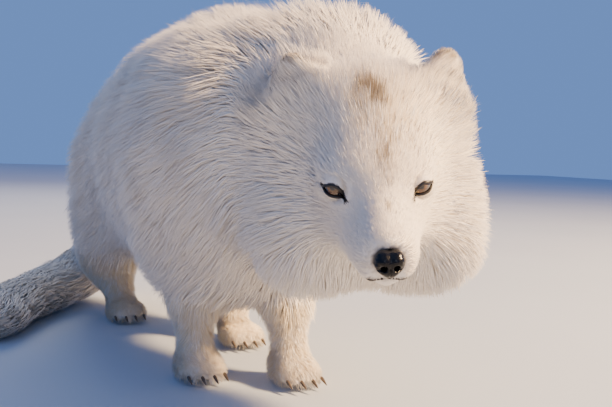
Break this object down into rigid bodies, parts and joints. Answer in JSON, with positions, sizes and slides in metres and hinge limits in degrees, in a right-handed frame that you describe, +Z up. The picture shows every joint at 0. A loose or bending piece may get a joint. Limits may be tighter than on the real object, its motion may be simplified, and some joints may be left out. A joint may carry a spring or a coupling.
{
  "type": "arctic fox",
  "caption": "Life-size standing arctic fox in full white winter coat, head lowered and turned, one hind leg forward, bushy tail laid along the ground.",
  "frame": {"origin": "middle of the bottom of the bounding box, on the floor", "axes": "+Z up, the fox faces -Y with its left side towards +X, and +Y runs back along the body"},
  "size_m": [0.321, 0.6454, 0.3056],
  "materials": {
    "coat": "long dense winter fur, white with cream and a little tan on the brow and the tips of the ears",
    "eye": "wet and clear over an amber-brown iris",
    "nose": "moist black skin, finely pebbled",
    "claw": "smooth dark horn"
  },
  "bodies": {
    "root": {"head": "coat", "lower_jaw": "coat", "ear_left": "coat", "ear_right": "coat", "neck": "coat", "trunk": "coat", "tail": "coat", "front_left_leg": "coat", "front_right_leg": "coat", "hind_left_leg": "coat", "hind_right_leg": "coat", "eye_left": "eye", "eye_right": "eye", "nose": "nose", "front_left_claw_1": "claw", "front_left_claw_2": "claw", "front_left_claw_3": "claw", "front_left_claw_4": "claw", "front_right_claw_1": "claw", "front_right_claw_2": "claw", "front_right_claw_3": "claw", "front_right_claw_4": "claw", "hind_left_claw_1": "claw", "hind_left_claw_2": "claw", "hind_left_claw_3": "claw", "hind_left_claw_4": "claw", "hind_right_claw_1": "claw", "hind_right_claw_2": "claw", "hind_right_claw_3": "claw", "hind_right_claw_4": "claw"}
  },
  "joints": []
}
